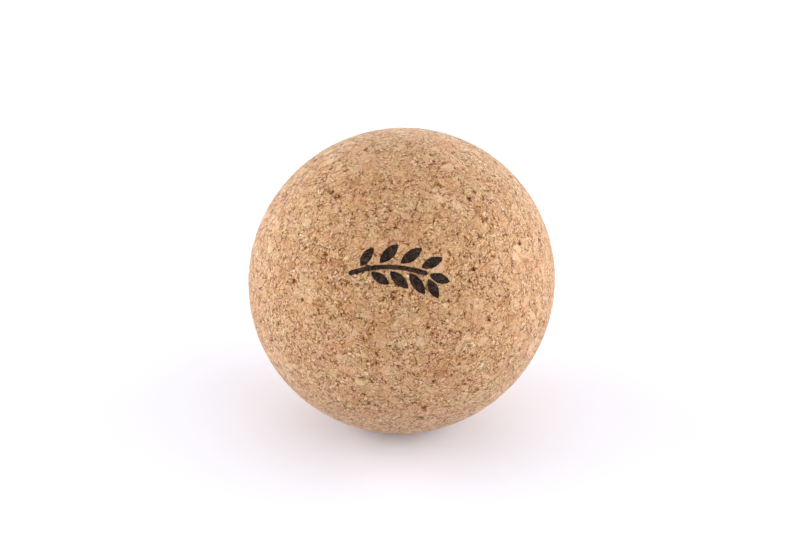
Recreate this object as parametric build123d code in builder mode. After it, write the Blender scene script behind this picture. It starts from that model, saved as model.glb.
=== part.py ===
from build123d import *

import os
from math import cos, radians, sin

# Massage ball: one solid ball of agglomerated cork with a leaf sprig printed on it.
#
# Units are millimetres.  The origin is the centre of the ball and +Z is up, so the
# ball rests on the plane z = -ball_radius.  The print faces -Y and leans up,
# as the ball lies when it has rolled to rest with its print in view.
#
# The ball has two physical pieces:
#   cork_ball    granulated cork bound with polyurethane, pressed solid and turned round
#   ink_emblem   the cured ink of the print, which has soaked into the surface pores

os.makedirs("parts", exist_ok=True)

# ---------------------------------------------------------------- driving sizes
ball_diameter = 80.0  # over the finished, sanded cork
ball_radius = ball_diameter / 2

emblem_elevation = 32.7  # degrees that the print's centre leans above the equator
ink_depth = 0.25  # how far the ink has soaked into the cork

stem_length = 24.4  # chord of the sprig's stem, end to end without its round ends
stem_rise = 1.5  # how far the stem bows upwards in the middle
stem_width = 1.2
leaf_gap = 0.45  # clear cork between the stem and the foot of a leaf
leaf_angle = 42.0  # degrees between a side leaf and the stem

# x along the stem, leaf length, leaf width, side (+1 above the stem, -1 below)
side_leaves = [
    (-9.6, 5.6, 2.5, +1),
    (-4.9, 6.5, 2.8, +1),
    (0.1, 6.6, 2.8, +1),
    (5.1, 5.8, 2.6, +1),
    (-7.2, 5.4, 2.4, -1),
    (-2.4, 6.3, 2.7, -1),
    (2.6, 6.4, 2.7, -1),
    (7.5, 5.4, 2.4, -1),
]
end_leaf_length = 5.4
end_leaf_width = 2.5

# ------------------------------------------------------------------ derived sizes
lean = radians(emblem_elevation)
emblem_plane = Plane(
    origin=(0, 0, 0),
    x_dir=(1, 0, 0),
    z_dir=(0, -cos(lean), sin(lean)),
)

# The stem is an arc through (-half, 0), (0, stem_rise) and (half, 0), moved left to
# leave room for the end leaf.
half = stem_length / 2 - end_leaf_length / 2 - leaf_gap / 2
stem_shift = -(end_leaf_length + leaf_gap) / 2
arc_radius = (half**2 + stem_rise**2) / (2 * stem_rise)
arc_drop = arc_radius - stem_rise  # centre of the arc lies this far below the chord


def stem_point(x):
    """Height and slope (as a unit tangent) of the stem's centre line at x."""
    u = x - stem_shift
    y = (arc_radius**2 - u**2) ** 0.5 - arc_drop
    return y, ((y + arc_drop) / arc_radius, -u / arc_radius)


def leaf_points(foot, direction, length, width):
    """Foot, widest points on both sides and tip of a lens-shaped leaf."""
    (fx, fy), (dx, dy) = foot, direction
    mid = (fx + dx * length * 0.5, fy + dy * length * 0.5)
    tip = (fx + dx * length, fy + dy * length)
    left = (mid[0] - dy * width / 2, mid[1] + dx * width / 2)
    right = (mid[0] + dy * width / 2, mid[1] - dx * width / 2)
    return (fx, fy), left, tip, right


leaves = []
for x, length, width, side in side_leaves:
    y, (tx, ty) = stem_point(x)
    turn = radians(leaf_angle) * side
    dx, dy = tx * cos(turn) - ty * sin(turn), tx * sin(turn) + ty * cos(turn)
    off = (stem_width / 2 + leaf_gap) * side
    leaves.append(leaf_points((x - ty * off, y + tx * off), (dx, dy), length, width))
end_x = stem_shift + half + stem_width / 2 + leaf_gap
end_y, (end_tx, end_ty) = stem_point(stem_shift + half)
leaves.append(
    leaf_points(
        (end_x, end_y + end_ty * (stem_width / 2 + leaf_gap)),
        (end_tx, end_ty),
        end_leaf_length,
        end_leaf_width,
    )
)

# --------------------------------------------------------------------- ink emblem
# The outline is swept straight through the ball's front half along the print's
# normal, and only the ink_depth nearest the surface is kept.
with BuildPart() as ink_emblem:
    with BuildSketch(emblem_plane.offset(ball_radius * 0.5)) as sprig:
        with BuildLine(mode=Mode.PRIVATE):
            stem_arc = ThreePointArc(
                (stem_shift - half, 0), (stem_shift, stem_rise), (stem_shift + half, 0)
            )
        SlotArc(stem_arc, stem_width)
        for foot, left, tip, right in leaves:
            with BuildLine():
                ThreePointArc(foot, left, tip)
                ThreePointArc(tip, right, foot)
            make_face()
    extrude(amount=ball_radius * 0.6)
    Sphere(radius=ball_radius, mode=Mode.INTERSECT)
    Sphere(radius=ball_radius - ink_depth, mode=Mode.SUBTRACT)
ink_emblem.part.label = "ink_emblem"

# ---------------------------------------------------------------------- cork ball
# The ball is solid throughout: it holds no core, bladder, shell or fastener.
with BuildPart() as cork_ball:
    Sphere(radius=ball_radius)
    add(ink_emblem.part, mode=Mode.SUBTRACT)
cork_ball.part.label = "cork_ball"

export_step(cork_ball.part, "parts/cork_ball.step")
export_step(ink_emblem.part, "parts/ink_emblem.step")

print("ink solids", len(ink_emblem.part.solids()), "ink volume", ink_emblem.part.volume)
print("ink size", ink_emblem.part.bounding_box().size)
print("cork solids", len(cork_ball.part.solids()), "volume", cork_ball.part.volume)
print("ink area of print", sprig.sketch.area)
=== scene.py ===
import bpy
import math
import numpy as np
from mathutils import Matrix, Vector
from mathutils.geometry import delaunay_2d_cdt


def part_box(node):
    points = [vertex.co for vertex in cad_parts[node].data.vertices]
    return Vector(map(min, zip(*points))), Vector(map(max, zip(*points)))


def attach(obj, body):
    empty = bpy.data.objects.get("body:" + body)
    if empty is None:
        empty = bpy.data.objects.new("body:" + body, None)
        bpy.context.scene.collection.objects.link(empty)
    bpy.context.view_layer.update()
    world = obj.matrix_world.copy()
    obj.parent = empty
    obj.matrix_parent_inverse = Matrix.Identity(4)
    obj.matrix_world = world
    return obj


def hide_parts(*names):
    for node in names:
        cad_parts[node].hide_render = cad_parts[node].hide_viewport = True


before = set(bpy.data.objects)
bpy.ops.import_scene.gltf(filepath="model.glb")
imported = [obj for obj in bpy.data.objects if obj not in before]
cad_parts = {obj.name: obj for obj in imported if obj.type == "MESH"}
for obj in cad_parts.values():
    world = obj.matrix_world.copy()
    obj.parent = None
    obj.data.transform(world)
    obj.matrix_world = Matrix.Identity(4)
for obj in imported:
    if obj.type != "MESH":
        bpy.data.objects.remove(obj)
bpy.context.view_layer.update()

MM = 0.001
lo, hi = (np.array(v, float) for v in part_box("cork_ball"))
RADIUS = float((hi - lo).mean() / 2) / MM  # 40 mm; the ball's centre is the origin
BALL_GRID = 440  # quads along each side of the ball's square grid

# The viewing direction of the photograph, and the middle of the print.
CAMERA_ELEVATION = 30.0
CAMERA_AZIMUTH = 0.83
EMBLEM_ELEVATION = 32.7  # as in the CAD model


def direction(azimuth, elevation):
    a, e = math.radians(azimuth), math.radians(elevation)
    return np.array([math.sin(a) * math.cos(e), -math.cos(a) * math.cos(e), math.sin(e)])


VIEW = direction(CAMERA_AZIMUTH, CAMERA_ELEVATION)


# --------------------------------------------------------------------- node helpers
class Tree:
    """Small helpers that add the same texture and math nodes to a shader tree or a
    geometry tree, so that the relief and the colours come from one pattern."""

    def __init__(self, tree):
        self.t = tree
        self.n = tree.nodes
        self.count = 0

    def node(self, kind):
        n = self.n.new(kind)
        n.location = (180 * (self.count % 40), -220 * (self.count // 40))
        self.count += 1
        return n

    def put(self, socket, value):
        if isinstance(value, bpy.types.NodeSocket):
            self.t.links.new(value, socket)
        elif value is not None:
            socket.default_value = value

    def math(self, op, a, b=None, c=None, clamp=False):
        n = self.node("ShaderNodeMath")
        n.operation = op
        n.use_clamp = clamp
        for s, v in zip(n.inputs, (a, b, c)):
            if v is not None:
                self.put(s, v)
        return n.outputs[0]

    def add(self, a, b):
        return self.math("ADD", a, b)

    def sub(self, a, b):
        return self.math("SUBTRACT", a, b)

    def mul(self, a, b):
        return self.math("MULTIPLY", a, b)

    def vmath(self, op, a, b=None, scale=None):
        n = self.node("ShaderNodeVectorMath")
        n.operation = op
        self.put(n.inputs[0], a)
        if b is not None:
            self.put(n.inputs[1], b)
        if scale is not None:
            self.put(n.inputs["Scale"], scale)
        return n.outputs["Value"] if op in ("DOT_PRODUCT", "LENGTH", "DISTANCE") else n.outputs["Vector"]

    def noise(self, vec, scale=1.0, detail=2.0, rough=0.5, color=False, lac=2.0, distortion=0.0):
        n = self.node("ShaderNodeTexNoise")
        n.noise_dimensions = "3D"
        self.put(n.inputs["Vector"], vec)
        self.put(n.inputs["Scale"], scale)
        self.put(n.inputs["Detail"], detail)
        self.put(n.inputs["Roughness"], rough)
        self.put(n.inputs["Lacunarity"], lac)
        self.put(n.inputs["Distortion"], distortion)
        return n.outputs[1] if color else n.outputs[0]

    def voronoi(self, vec, scale=1.0, feature="F1", randomness=1.0, smooth=None):
        n = self.node("ShaderNodeTexVoronoi")
        n.voronoi_dimensions = "3D"
        n.feature = feature
        self.put(n.inputs["Vector"], vec)
        self.put(n.inputs["Scale"], scale)
        self.put(n.inputs["Randomness"], randomness)
        if smooth is not None:
            self.put(n.inputs["Smoothness"], smooth)
        return n

    def range(self, v, a, b, c=0.0, d=1.0, smooth=True):
        n = self.node("ShaderNodeMapRange")
        n.interpolation_type = "SMOOTHSTEP" if smooth else "LINEAR"
        n.clamp = True
        for k, x in zip(("Value", "From Min", "From Max", "To Min", "To Max"), (v, a, b, c, d)):
            self.put(n.inputs[k], x)
        return n.outputs[0]

    def split(self, vec):
        n = self.node("ShaderNodeSeparateXYZ")
        self.put(n.inputs[0], vec)
        return n.outputs[0], n.outputs[1], n.outputs[2]

    def mix(self, fac, a, b, mode="MIX"):
        n = self.node("ShaderNodeMix")
        n.data_type = "RGBA"
        n.blend_type = mode
        n.clamp_factor = True
        self.put(n.inputs[0], fac)
        self.put(n.inputs[6], a)
        self.put(n.inputs[7], b)
        return n.outputs[2]

    def mix_value(self, fac, a, b):
        n = self.node("ShaderNodeMix")
        n.data_type = "FLOAT"
        n.clamp_factor = True
        self.put(n.inputs[0], fac)
        self.put(n.inputs[2], a)
        self.put(n.inputs[3], b)
        return n.outputs[0]

    def curve(self, fac, stops):
        n = self.node("ShaderNodeValToRGB")
        e = n.color_ramp.elements
        while len(e) > 1:
            e.remove(e[-1])
        for i, (p, v) in enumerate(stops):
            k = e[0] if i == 0 else e.new(p)
            k.position = p
            k.color = (v, v, v, 1.0)
        self.put(n.inputs[0], fac)
        return n.outputs[0]

    def ramp(self, fac, stops, mode="LINEAR"):
        n = self.node("ShaderNodeValToRGB")
        r = n.color_ramp
        r.interpolation = mode
        while len(r.elements) > 1:
            r.elements.remove(r.elements[-1])
        for i, (p, c) in enumerate(stops):
            e = r.elements[0] if i == 0 else r.elements.new(p)
            e.position = p
            e.color = (*c, 1.0)
        self.put(n.inputs[0], fac)
        return n.outputs[0]


def cork_pattern(T, pos_m):
    """The granule pattern of the cork, from a position in metres. The position is
    brought back to the turned sphere, so relief doesn't shift the pattern."""
    p = T.vmath("SCALE", T.vmath("NORMALIZE", pos_m), scale=RADIUS)  # mm
    P = {"p": p}
    # ragged outlines
    w1 = T.vmath("SUBTRACT", T.noise(p, 0.55, 2.0, 0.5, color=True), (0.5, 0.5, 0.5))
    w2 = T.vmath("SUBTRACT", T.noise(p, 2.1, 2.0, 0.55, color=True), (0.5, 0.5, 0.5))
    q = T.vmath("ADD", p, T.vmath("SCALE", w1, scale=1.7))
    q = T.vmath("ADD", q, T.vmath("SCALE", w2, scale=0.85))
    P["q"] = q
    # large granules, of 2.5 mm
    big = T.voronoi(q, 0.40)
    P["big"] = big.outputs["Color"]
    P["r"], P["g"], P["b"] = T.split(P["big"])
    P["edge"] = T.voronoi(q, 0.40, "DISTANCE_TO_EDGE").outputs["Distance"]
    # middling granules, of 1.3 mm, that fill between them
    mid = T.voronoi(q, 0.76)
    P["mid"] = mid.outputs["Color"]
    P["mr"], P["mg"], P["mb"] = T.split(P["mid"])
    P["medge"] = T.voronoi(q, 0.76, "DISTANCE_TO_EDGE").outputs["Distance"]
    P["whole"] = T.range(P["g"], 0.62, 0.66)  # 1 where a large granule is whole
    P["filled"] = T.math("SUBTRACT", 1.0, P["whole"])
    P["crumb"] = T.mul(P["filled"], T.range(P["mg"], 0.44, 0.36))  # 1 where the filling is crumbs
    P["open"] = T.range(T.noise(q, 0.85, 2.0, 0.6), 0.43, 0.60)  # where joints have opened
    P["pit"] = T.mul(T.range(P["mr"], 0.980, 0.990), P["filled"])  # granules that have fallen out
    return P


# --------------------------------------------------------------------- meshes
def octa_ball(n):
    """A square grid folded over a sphere with equal areas. Its seams are at the back."""
    k = np.linspace(-1, 1, n + 1)
    U, V = np.meshgrid(k, k, indexing="ij")
    d = 1 - (np.abs(U) + np.abs(V))
    r = 1 - np.abs(d)
    with np.errstate(divide="ignore", invalid="ignore"):
        phi = np.where(r == 0, 0, ((np.abs(V) - np.abs(U)) / np.where(r == 0, 1, r) + 1) * math.pi / 4)
    f = r * np.sqrt(np.maximum(2 - r * r, 0))
    X = f * np.sign(U) * np.cos(phi)
    Y = f * np.sign(V) * np.sin(phi)
    Z = np.sign(d) * (1 - r * r)
    # the square's middle faces the camera
    w = VIEW
    u = np.cross((0, 0, 1.0), w)
    u /= np.linalg.norm(u)
    v = np.cross(w, u)
    pts = X[..., None] * u + Y[..., None] * v + Z[..., None] * w
    ids = np.arange((n + 1) ** 2).reshape(n + 1, n + 1)
    same = ids.copy()
    h = n // 2
    for j in range(n + 1):
        m = n - j
        if j > h:
            same[0, j] = same[0, m]
            same[n, j] = same[n, m]
            same[j, 0] = same[m, 0]
            same[j, n] = same[m, n]
    same[0, n] = same[n, 0] = same[n, n] = same[0, 0]
    for _ in range(3):
        same = same.ravel()[same]
    used = np.unique(same)
    new = np.full((n + 1) ** 2, -1)
    new[used] = np.arange(len(used))
    a, b, c, e = same[:-1, :-1], same[1:, :-1], same[1:, 1:], same[:-1, 1:]
    quads = new[np.stack([a, b, c, e], -1).reshape(-1, 4)]
    gi, gj = np.meshgrid(np.arange(n), np.arange(n), indexing="ij")
    corner = np.stack([np.stack([gi + x, gj + y], -1) for x, y in ((0, 0), (1, 0), (1, 1), (0, 1))], 2)
    uv = corner.reshape(-1, 4, 2) / n
    return pts.reshape(-1, 3)[used], quads, uv


def make_mesh(name, points, faces, uv=None):
    me = bpy.data.meshes.new(name)
    me.from_pydata([tuple(p) for p in points], [], [tuple(int(i) for i in f) for f in faces])
    me.validate()
    if uv is not None:
        layer = me.uv_layers.new(name="OFBake")
        layer.data.foreach_set("uv", np.asarray(uv, np.float32).ravel())
    me.polygons.foreach_set("use_smooth", np.ones(len(me.polygons), bool))
    me.update()
    return me


def relief_group():
    """A geometry node group that moves each vertex of a sphere in or out."""
    tree = bpy.data.node_groups.new("cork_relief", "GeometryNodeTree")
    tree.interface.new_socket("Geometry", in_out="INPUT", socket_type="NodeSocketGeometry")
    tree.interface.new_socket("Geometry", in_out="OUTPUT", socket_type="NodeSocketGeometry")
    T = Tree(tree)
    gin, gout = T.node("NodeGroupInput"), T.node("NodeGroupOutput")
    pos = T.node("GeometryNodeInputPosition").outputs[0]
    P = cork_pattern(T, pos)
    h = relief_height(T, P)
    move = T.node("GeometryNodeSetPosition")
    T.put(move.inputs["Geometry"], gin.outputs[0])
    T.put(move.inputs["Offset"], T.vmath("SCALE", T.vmath("NORMALIZE", pos), scale=T.mul(h, MM)))
    T.put(gout.inputs[0], move.outputs[0])
    return tree


def relief_height(T, P):
    """Height of the turned surface in mm."""
    # whole granules stand a little proud or low
    h = T.mul(T.sub(P["r"], 0.5), 0.06)
    h = T.add(h, T.mul(T.mul(T.sub(P["mr"], 0.5), P["filled"]), 0.06))
    # joints between granules that have opened, and granules torn out by the turning
    crack = T.mul(T.range(P["edge"], 0.0, 0.12, 1.0, 0.0), P["open"])
    joint = T.mul(T.mul(T.range(P["medge"], 0.0, 0.20, 1.0, 0.0), P["filled"]), P["open"])
    h = T.sub(h, T.mul(T.math("MAXIMUM", crack, joint), 0.10))
    pit = T.mul(P["pit"], T.range(P["medge"], 0.02, 0.22))
    h = T.sub(h, T.mul(pit, 0.40))
    h = T.add(h, T.mul(T.sub(T.noise(P["p"], 1.3, 3.0, 0.6), 0.5), 0.10))
    # slightly out of round
    n = T.vmath("NORMALIZE", P["p"])
    right = np.cross((0, 0, 1.0), VIEW)
    right /= np.linalg.norm(right)
    up = np.cross(VIEW, right)
    t = math.radians(42)
    long_, short = right * math.cos(t) + up * math.sin(t), -right * math.sin(t) + up * math.cos(t)
    a = T.vmath("DOT_PRODUCT", n, tuple(long_))
    b = T.vmath("DOT_PRODUCT", n, tuple(short))
    h = T.add(h, T.mul(T.sub(T.mul(a, a), T.mul(b, b)), 0.27))
    return h


def bake_relief(ob, group):
    mod = ob.modifiers.new("relief", "NODES")
    mod.node_group = group
    dg = bpy.context.evaluated_depsgraph_get()
    me = bpy.data.meshes.new_from_object(ob.evaluated_get(dg), preserve_all_data_layers=True, depsgraph=dg)
    ob.modifiers.clear()
    old = ob.data
    ob.data = me
    bpy.data.meshes.remove(old)
    me.name = ob.name
    me.polygons.foreach_set("use_smooth", np.ones(len(me.polygons), bool))


def link(ob):
    bpy.context.scene.collection.objects.link(ob)
    return ob


# --------------------------------------------------------------------- materials
# Colour of the cork against its tone, in levels of a displayed picture from the mean.
CORK_MEAN = (203.0, 160.0, 122.0)
CORK_LIGHT = (1.20, 1.21, 1.26)  # how much brighter than its albedo the lit cork shows
CORK_GLOSS = (0.028, 0.033, 0.038)  # the part of that which is gloss


def tone_color(level):
    """Albedo of cork at a tone. Dark cork is redder than pale cork."""
    out = []
    for c, light, gloss, redder in zip(CORK_MEAN, CORK_LIGHT, CORK_GLOSS, (1.0, 1.06, 1.10)):
        v = min(max(c + level * (redder if level < 0 else 1.0), 4.0), 252.0) / 255
        v = v / 12.92 if v < 0.04045 else ((v + 0.055) / 1.055) ** 2.4
        out.append(max(v - gloss, 0.005) / light)
    return tuple(out)


TONE_MIN, TONE_MAX = -150.0, 60.0


def cork_tone(T, P):
    """Tone of the cork, in levels from its mean, and the parts that the bump uses."""
    q, p, whole, crumb, filled = P["q"], P["p"], P["whole"], P["crumb"], P["filled"]
    # each granule has its own grain direction: the pattern is drawn out along it
    pick = T.mix(whole, P["mid"], P["big"])
    d = T.vmath("NORMALIZE", T.vmath("SUBTRACT", pick, (0.5, 0.5, 0.5)))
    along = T.vmath("DOT_PRODUCT", p, d)
    w = T.vmath("SUBTRACT", T.noise(p, 2.6, 1.0, 0.5, color=True), (0.5, 0.5, 0.5))
    s = T.vmath("SUBTRACT", p, T.vmath("SCALE", d, scale=T.mul(along, 0.55)))
    s = T.vmath("ADD", s, T.vmath("SCALE", w, scale=0.55))
    s = T.vmath("ADD", s, T.vmath("SCALE", pick, scale=37.0))
    # crumbs and strands of cells
    t1 = T.split(T.voronoi(s, 1.75).outputs["Color"])
    tedge = T.voronoi(s, 1.75, "DISTANCE_TO_EDGE").outputs["Distance"]
    t2 = T.split(T.voronoi(s, 3.2).outputs["Color"])
    curve = [(0.0, 0.0), (0.05, 0.24), (0.16, 0.46), (0.35, 0.60), (0.60, 0.70), (0.85, 0.82), (1.0, 1.0)]
    c1 = T.sub(T.curve(t1[0], curve), 0.64)
    c2 = T.sub(T.curve(t2[0], curve), 0.64)
    fine = T.sub(T.noise(s, 2.8, 2.0, 0.6), 0.5)
    body = T.mul(c1, T.range(crumb, 0.0, 1.0, 34.0, 92.0, smooth=False))
    body = T.add(body, T.mul(c2, T.range(crumb, 0.0, 1.0, 94.0, 104.0, smooth=False)))
    body = T.add(body, T.mul(fine, T.range(crumb, 0.0, 1.0, 112.0, 124.0, smooth=False)))
    body = T.mul(body, T.range(whole, 0.0, 1.0, 1.0, 0.72, smooth=False))
    # a few whole granules are smooth pale chips, and a few are brown with bark
    pale = T.mul(whole, T.range(P["b"], 0.86, 0.88))
    bark = T.mul(whole, T.range(P["b"], 0.06, 0.04))
    body = T.mul(body, T.range(pale, 0.0, 1.0, 1.0, 0.60, smooth=False))
    tone = T.add(T.mul(T.sub(T.mix_value(whole, P["mb"], P["r"]), 0.5), 15.0), body)
    # joints between granules: thin dark lines, broken into strokes. Their darkness is partly the joints' own colour
    # and partly painted shade in the opened crevices
    strokes = T.range(T.noise(p, 1.25, 2.0, 0.6), 0.42, 0.58, 0.25, 1.0)
    l1 = T.mul(T.range(P["edge"], 0.0, 0.075, 1.0, 0.0), P["open"])
    l2 = T.mul(T.mul(T.range(P["medge"], 0.0, 0.135, 1.0, 0.0), filled), P["open"])
    l3 = T.mul(T.mul(T.range(tedge, 0.0, 0.20, 1.0, 0.0), crumb), 0.55)
    line = T.mul(T.math("MAXIMUM", T.math("MAXIMUM", l1, l2), l3), strokes)
    # the joints are darkened: their own dark colour, with painted shade in the crevices
    tone = T.sub(tone, T.mul(line, 108.0))
    # between the joints these parts are no darker than the rest
    tone = T.add(tone, T.add(T.mul(crumb, 7.0), T.mul(T.mul(P["open"], filled), 6.0)))
    # painted shade: the hollows left by fallen-out granules are darkened
    pit = T.mul(P["pit"], T.range(P["medge"], 0.02, 0.16))
    tone = T.sub(tone, T.mul(pit, 70.0))
    tone = T.add(tone, T.mul(T.sub(T.noise(q, 0.50, 2.0, 0.6), 0.5), 14.0))
    tone = T.add(tone, T.mul(T.sub(T.noise(p, 0.09, 2.0), 0.5), 6.0))
    tone = T.add(tone, T.sub(T.mul(pale, 10.0), T.mul(bark, 18.0)))
    # some granules and patches are more russet, and these are a little darker
    russet = T.mul(T.sub(T.mix_value(whole, P["mb"], P["r"]), 0.5), 0.18)
    russet = T.add(russet, T.mul(T.sub(T.noise(q, 0.22, 2.0, 0.6), 0.5), 1.30))
    russet = T.add(russet, T.sub(T.mul(bark, 0.14), T.mul(pale, 0.08)))
    tone = T.add(T.sub(tone, T.mul(russet, 11.0)), 7.5)
    return tone, {"russet": russet, "fine": fine, "line": line, "pit": pit, "body": body}


def cork_material():
    m = bpy.data.materials.new("agglomerated_cork")
    m.use_nodes = True
    T = Tree(m.node_tree)
    bsdf = m.node_tree.nodes["Principled BSDF"]
    pos = T.node("ShaderNodeTexCoord").outputs["Object"]
    P = cork_pattern(T, pos)
    tone, F = cork_tone(T, P)
    stops = [(k / 16, tone_color(TONE_MIN + (TONE_MAX - TONE_MIN) * k / 16)) for k in range(17)]
    col = T.ramp(T.range(tone, TONE_MIN, TONE_MAX, smooth=False), stops)
    # granules lean a little to pink or to yellow
    g_shift = T.mul(F["russet"], -0.37)
    b_shift = T.mul(F["russet"], -0.50)
    h2 = T.sub(T.mix_value(P["whole"], P["mr"], P["b"]), 0.5)
    n2 = T.noise(P["q"], 0.33, 2.0, 0.6)
    b_shift = T.add(b_shift, T.add(T.mul(h2, 0.07), T.mul(T.sub(n2, 0.5), 0.62)))
    g_shift = T.add(g_shift, T.mul(h2, 0.025))
    tint = T.node("ShaderNodeCombineXYZ")
    tint.inputs[0].default_value = 1.0
    T.put(tint.inputs[1], T.add(g_shift, 1.0))
    T.put(tint.inputs[2], T.add(b_shift, 1.0))
    col = T.mix(1.0, col, tint.outputs[0], "MULTIPLY")
    T.put(bsdf.inputs["Base Color"], col)

    rough = T.range(F["body"], -25.0, 25.0, 0.76, 0.58, smooth=False)
    rough = T.math("MAXIMUM", rough, T.mul(T.math("MAXIMUM", F["line"], F["pit"]), 0.95))
    T.put(bsdf.inputs["Roughness"], rough)
    bsdf.inputs["Specular IOR Level"].default_value = 0.26
    # fine dust and torn cells on the sanded surface
    bsdf.inputs["Sheen Weight"].default_value = 0.20
    bsdf.inputs["Sheen Roughness"].default_value = 0.45
    bsdf.inputs["Sheen Tint"].default_value = (1.0, 0.96, 0.92, 1.0)

    bump = T.node("ShaderNodeBump")
    bump.inputs["Strength"].default_value = 0.8
    bump.inputs["Distance"].default_value = 1.0
    fineh = T.mul(F["body"], 0.0012 * MM)
    fineh = T.sub(fineh, T.mul(F["line"], 0.08 * MM))
    T.put(bump.inputs["Height"], fineh)
    T.put(bsdf.inputs["Normal"], bump.outputs[0])
    return m


def floor_material():
    """A white table that stays white far from the lights, and is open from below."""
    m = bpy.data.materials.new("floor_white")
    m.use_nodes = True
    T = Tree(m.node_tree)
    b = m.node_tree.nodes["Principled BSDF"]
    b.inputs["Base Color"].default_value = (0.86, 0.872, 0.95, 1.0)
    b.inputs["Roughness"].default_value = 0.8
    b.inputs["Specular IOR Level"].default_value = 0.0
    b.inputs["Emission Color"].default_value = (1.0, 1.0, 1.0, 1.0)
    far = T.vmath("LENGTH", T.node("ShaderNodeTexCoord").outputs["Object"])
    T.put(b.inputs["Emission Strength"], T.range(far, 0.45, 1.3, 0.0, 0.70))
    mix = T.node("ShaderNodeMixShader")
    T.put(mix.inputs[0], T.node("ShaderNodeNewGeometry").outputs["Backfacing"])
    m.node_tree.links.new(b.outputs[0], mix.inputs[1])
    m.node_tree.links.new(T.node("ShaderNodeBsdfTransparent").outputs[0], mix.inputs[2])
    m.node_tree.links.new(mix.outputs[0], m.node_tree.nodes["Material Output"].inputs["Surface"])
    return m


# --------------------------------------------------------------------- the ball
group = relief_group()
pts, quads, uv = octa_ball(BALL_GRID)
uv = 0.001 + 0.998 * uv
ball = link(bpy.data.objects.new("cork_ball_surface", make_mesh("cork_ball_surface", pts * RADIUS * MM, quads, uv)))
bake_relief(ball, group)
ball.data.materials.append(cork_material())
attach(ball, "root")
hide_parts("cork_ball")

co = np.empty(len(ball.data.vertices) * 3, np.float32)
ball.data.vertices.foreach_get("co", co)
co = co.reshape(-1, 3)
rr = np.linalg.norm(co, axis=1) / MM
print("ball faces", len(ball.data.polygons), "radius mm", rr.min(), rr.max(), "lowest", co[:, 2].min())
floor_z = float(co[:, 2].min())

# --------------------------------------------------------------------- the print
STEM_LENGTH, STEM_RISE, STEM_WIDTH = 24.4, 1.5, 1.2
LEAF_GAP, LEAF_ANGLE = 0.45, 42.0
SIDE_LEAVES = [
    (-9.6, 5.6, 2.5, 1), (-4.9, 6.5, 2.8, 1), (0.1, 6.6, 2.8, 1), (5.1, 5.8, 2.6, 1),
    (-7.2, 5.4, 2.4, -1), (-2.4, 6.3, 2.7, -1), (2.6, 6.4, 2.7, -1), (7.5, 5.4, 2.4, -1),
]
END_LEAF = (5.4, 2.5)


def arc(p0, p1, p2, step):
    """Points on the circular arc from p0 through p1 to p2, without p2."""
    p0, p1, p2 = (np.array(p, float) for p in (p0, p1, p2))
    ax, ay = p1 - p0
    bx, by = p2 - p0
    d = 2 * (ax * by - ay * bx)
    c = p0 + np.array([by * (ax * ax + ay * ay) - ay * (bx * bx + by * by), ax * (bx * bx + by * by) - bx * (ax * ax + ay * ay)]) / d
    a0, a1, a2 = (math.atan2(*(p - c)[::-1]) for p in (p0, p1, p2))
    turn = (a2 - a0) % (2 * math.pi)
    if (a1 - a0) % (2 * math.pi) > turn:
        turn -= 2 * math.pi
    r = np.linalg.norm(p0 - c)
    n = max(4, int(abs(turn) * r / step))
    t = a0 + turn * np.arange(n) / n
    return c + r * np.stack([np.cos(t), np.sin(t)], -1)


def sprig_outlines(step):
    half = STEM_LENGTH / 2 - END_LEAF[0] / 2 - LEAF_GAP / 2
    shift = -(END_LEAF[0] + LEAF_GAP) / 2
    rad = (half**2 + STEM_RISE**2) / (2 * STEM_RISE)
    drop = rad - STEM_RISE
    w = STEM_WIDTH / 2

    def stem_point(x):
        u = x - shift
        y = math.sqrt(rad * rad - u * u) - drop
        return y, ((y + drop) / rad, -u / rad)

    def leaf(foot, along, length, width):
        foot, along = np.array(foot), np.array(along)
        side = np.array([-along[1], along[0]])
        tip = foot + along * length
        left = foot + along * length * 0.5 + side * width / 2
        right = foot + along * length * 0.5 - side * width / 2
        return np.vstack([arc(foot, left, tip, step), arc(tip, right, foot, step)])

    # stem: two parallel arcs with round ends
    a_end = math.atan2(half, drop)
    c = np.array([shift, -drop])
    up_ = [c + (rad + w) * np.array([math.sin(a), math.cos(a)]) for a in np.linspace(-a_end, a_end, int(2 * a_end * rad / step))]
    dn = [c + (rad - w) * np.array([math.sin(a), math.cos(a)]) for a in np.linspace(a_end, -a_end, int(2 * a_end * rad / step))]
    right_end = c + rad * np.array([math.sin(a_end), math.cos(a_end)])
    left_end = c + rad * np.array([-math.sin(a_end), math.cos(a_end)])
    k = max(4, int(math.pi * w / step))
    cap_r = [right_end + w * np.array([math.sin(a_end + t), math.cos(a_end + t)]) for t in np.linspace(0, math.pi, k + 1)[1:-1]]
    cap_l = [left_end + w * np.array([math.sin(math.pi - a_end + t), math.cos(math.pi - a_end + t)]) for t in np.linspace(0, math.pi, k + 1)[1:-1]]
    outlines = [np.array(up_ + cap_r + dn + cap_l)]
    off = w + LEAF_GAP
    for x, length, width, side in SIDE_LEAVES:
        y, (tx, ty) = stem_point(x)
        foot = (x - ty * off * side, y + tx * off * side)
        a = math.radians(LEAF_ANGLE) * side
        along = (tx * math.cos(a) - ty * math.sin(a), tx * math.sin(a) + ty * math.cos(a))
        outlines.append(leaf(foot, along, length, width))
    ex = shift + half
    ey, (tx, ty) = stem_point(ex)
    outlines.append(leaf((ex + tx * off, ey + ty * off), (tx, ty), *END_LEAF))
    return outlines


def inside(pts, poly):
    x, y = pts[:, 0][:, None], pts[:, 1][:, None]
    x0, y0 = poly[:, 0][None], poly[:, 1][None]
    x1, y1 = np.roll(poly[:, 0], -1)[None], np.roll(poly[:, 1], -1)[None]
    cross = ((y0 > y) != (y1 > y)) & (x < (x1 - x0) * (y - y0) / np.where(y1 == y0, 1e-12, y1 - y0) + x0)
    return cross.sum(1) % 2 == 1


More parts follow.
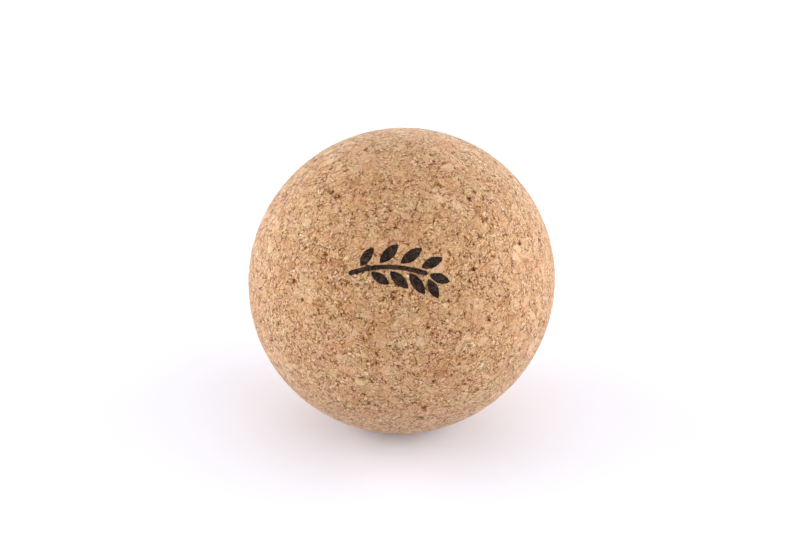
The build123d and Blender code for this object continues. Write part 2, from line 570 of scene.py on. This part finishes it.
def sprig_mesh(step=0.16, edge_noise=0.05, over=0.04, under=0.16, reach=0.14):
    """The ink as a thin closed skin that follows the ball's relief."""
    rng = np.random.default_rng(11)
    ph = rng.uniform(0, 2 * math.pi, (2, 24))
    fr = rng.normal(0, 4.5, (2, 24, 2))

    def wobble(q):
        d = np.stack([np.cos(q @ fr[i].T + ph[i]).mean(1) for i in range(2)], -1)
        return q + d * edge_noise * 4

    tops, faces, loops, base = [], [], [], 0
    for line in sprig_outlines(step):
        line = wobble(line)
        a, b = line.min(0), line.max(0)
        gx = np.arange(a[0], b[0], step)
        gy = np.arange(a[1], b[1], step * 0.87)
        G = np.array([(x + (0.5 * step if j % 2 else 0), y) for j, y in enumerate(gy) for x in gx])
        G = G[inside(G, line)]
        near = np.sqrt(((G[:, None] - line[None]) ** 2).sum(-1)).min(1)
        G = G[near > step * 0.55]
        n = len(line)
        vs, _, fs, *_ = delaunay_2d_cdt([Vector(v) for v in np.vstack([line, G])], [(i, (i + 1) % n) for i in range(n)], [list(range(n))], 1, 1e-6)
        assert len(vs) == n + len(G)
        vs = np.array([tuple(v) for v in vs])
        tops.append(vs)
        for f in fs:
            t = [int(i) for i in f]
            area = sum(vs[t[i], 0] * vs[t[(i + 1) % len(t)], 1] - vs[t[(i + 1) % len(t)], 0] * vs[t[i], 1] for i in range(len(t)))
            if area < 0:
                t.reverse()
            faces.append([i + base for i in t])
        order = np.arange(n)
        if ((line[:, 0] * np.roll(line[:, 1], -1) - np.roll(line[:, 0], -1) * line[:, 1]).sum()) < 0:
            order = order[::-1]
        loops.append(order + base)
        base += len(vs)
    flat = np.vstack(tops)
    N = direction(0, EMBLEM_ELEVATION)
    X = np.array([1.0, 0, 0])
    Y = np.cross(N, X)
    rim = np.sqrt(RADIUS**2 - (flat**2).sum(1))
    sphere = flat[:, :1] * X + flat[:, 1:] * Y + rim[:, None] * N
    unit = sphere / np.linalg.norm(sphere, axis=1, keepdims=True)
    # down on to the displaced cork
    from mathutils.bvhtree import BVHTree
    me = ball.data
    vc = np.empty(len(me.vertices) * 3, np.float32)
    me.vertices.foreach_get("co", vc)
    vc = vc.reshape(-1, 3).astype(float)
    fv = np.empty(len(me.polygons) * 4, np.int32)
    me.polygons.foreach_get("vertices", fv)
    fv = fv.reshape(-1, 4)
    nearf = ((vc[fv[:, 0]] / np.linalg.norm(vc[fv[:, 0]], axis=1, keepdims=True)) @ N) > math.cos(math.radians(24))
    sub = fv[nearf]
    used, idx = np.unique(sub, return_inverse=True)
    idx = idx.reshape(sub.shape)
    tree = BVHTree.FromPolygons([tuple(v) for v in vc[used]], [tuple(int(i) for i in f) for f in idx])
    # each point lies on the highest cork within its reach, so no grain stands through
    around = [(0.0, 0.0)] + [(reach * math.cos(t), reach * math.sin(t)) for t in np.arange(6) * math.pi / 3]
    rad = np.zeros(len(unit))
    for dx, dy in around:
        for i, u in enumerate(unit):
            v = u + (X * dx + Y * dy) / RADIUS
            v /= np.linalg.norm(v)
            hit = tree.ray_cast(Vector(v * 0.05), Vector(-v), 0.02)
            rad[i] = max(rad[i], hit[0].length / MM if hit[0] is not None else RADIUS)
    n = len(unit)
    pts = np.vstack([unit * (rad + over)[:, None], unit * (rad - under)[:, None]]) * MM
    allf = list(faces) + [[i + n for i in reversed(f)] for f in faces]
    for loop in loops:
        k = len(loop)
        for i in range(k):
            a, b = int(loop[i]), int(loop[(i + 1) % k])
            allf.append([b, a, a + n, b + n])
    return make_mesh("printed_sprig", pts, allf)


def ink_material():
    m = bpy.data.materials.new("print_ink")
    m.use_nodes = True
    T = Tree(m.node_tree)
    bsdf = m.node_tree.nodes["Principled BSDF"]
    pos = T.node("ShaderNodeTexCoord").outputs["Object"]
    p = T.vmath("SCALE", pos, scale=1000.0)
    n1 = T.noise(p, 0.8, 2.0, 0.6)
    n2 = T.noise(p, 2.4, 2.0, 0.6)
    f = T.add(T.mul(n1, 0.4), T.mul(n2, 0.6))
    col = T.ramp(f, [(0.42, (0.0045, 0.0030, 0.0026)), (0.50, (0.024, 0.0125, 0.0080)), (0.58, (0.060, 0.034, 0.022))])
    T.put(bsdf.inputs["Base Color"], col)
    T.put(bsdf.inputs["Roughness"], T.range(n2, 0.3, 0.7, 0.62, 0.45, smooth=False))
    bsdf.inputs["Specular IOR Level"].default_value = 0.11
    bump = T.node("ShaderNodeBump")
    bump.inputs["Strength"].default_value = 0.6
    bump.inputs["Distance"].default_value = 1.0
    T.put(bump.inputs["Height"], T.mul(n2, 0.05 * MM))
    T.put(bsdf.inputs["Normal"], bump.outputs[0])
    return m


sprig = link(bpy.data.objects.new("printed_sprig", sprig_mesh()))
sprig.data.materials.append(ink_material())
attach(sprig, "root")
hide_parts("ink_emblem")
print("ink faces", len(sprig.data.polygons))

# --------------------------------------------------------------------- stage
floor = make_mesh("floor", [(-6, -6, floor_z), (6, -6, floor_z), (6, 6, floor_z), (-6, 6, floor_z)], [(0, 1, 2, 3)])
floor_ob = link(bpy.data.objects.new("floor", floor))
floor.materials.append(floor_material())

scene = bpy.context.scene
scene.view_settings.view_transform = "Standard"
scene.view_settings.look = "None"
scene.view_settings.exposure = 0.0
scene.view_settings.gamma = 1.0


def softbox(name, place, size, watts):
    light = bpy.data.lights.new(name, "AREA")
    light.shape = "RECTANGLE"
    light.size, light.size_y = size
    light.energy = watts
    ob = link(bpy.data.objects.new(name, light))
    ob.location = place
    ob.rotation_euler = (-Vector(place)).to_track_quat("-Z", "Y").to_euler()
    ob.visible_camera = False
    return ob


K = 10.0
softbox("backdrop_glow", (0, 1.25, 0.27), (2.4, 0.5), 0.51 * K)
softbox("low_left", (-1.0, 0.3, 0.12), (1.4, 0.28), 0.47 * K)
softbox("low_right", (1.0, 0.3, 0.12), (1.4, 0.28), 0.55 * K)
softbox("low_front_left", (-1.0, -0.3, 0.10), (1.0, 0.2), 0.11 * K)
softbox("left", (-1.0, 0.1, 0.50), (1.0, 0.5), 0.67 * K)
softbox("right", (1.0, 0.1, 0.50), (1.0, 0.5), 0.59 * K)
softbox("rim_right", (0.85, 0.75, 0.40), (0.9, 0.5), 0.09 * K)
softbox("front_left", (-0.72, -0.72, 0.58), (0.8, 0.5), 0.17 * K)
softbox("front_right", (0.72, -0.72, 0.58), (0.8, 0.5), 0.38 * K)
softbox("top", (0, 0, 1.1), (0.9, 0.9), 0.055 * K)
softbox("back", (0, 1.0, 0.75), (1.2, 0.6), 0.215 * K)

world = bpy.data.worlds.new("studio")
scene.world = world
world.use_nodes = True
bg = world.node_tree.nodes.get("Background") or world.node_tree.nodes.new("ShaderNodeBackground")
bg.inputs[0].default_value = (1, 1, 1, 1)
# the room looks whiter to the camera than the light that it gives
W = Tree(world.node_tree)
seen = W.node("ShaderNodeLightPath").outputs["Is Camera Ray"]
W.put(bg.inputs[1], W.range(seen, 0.0, 1.0, 0.47, 1.0, smooth=False))

# --------------------------------------------------------------------- camera
D = 0.75
cam = bpy.data.cameras.new("camera")
cam_ob = link(bpy.data.objects.new("camera", cam))
back = Vector(VIEW)
cam_ob.location = back * D
cam_ob.rotation_euler = (-back).to_track_quat("-Z", "Y").to_euler()
cam.sensor_width = 36.0
focal_px = 153.2 / math.tan(math.asin(RADIUS * MM / D))
cam.lens = focal_px * 36.0 / 800
cam.shift_x = -1.65 / 800
cam.shift_y = 0.64 / 800
cam.clip_start = 0.01
cam.clip_end = 50.0
scene.camera = cam_ob

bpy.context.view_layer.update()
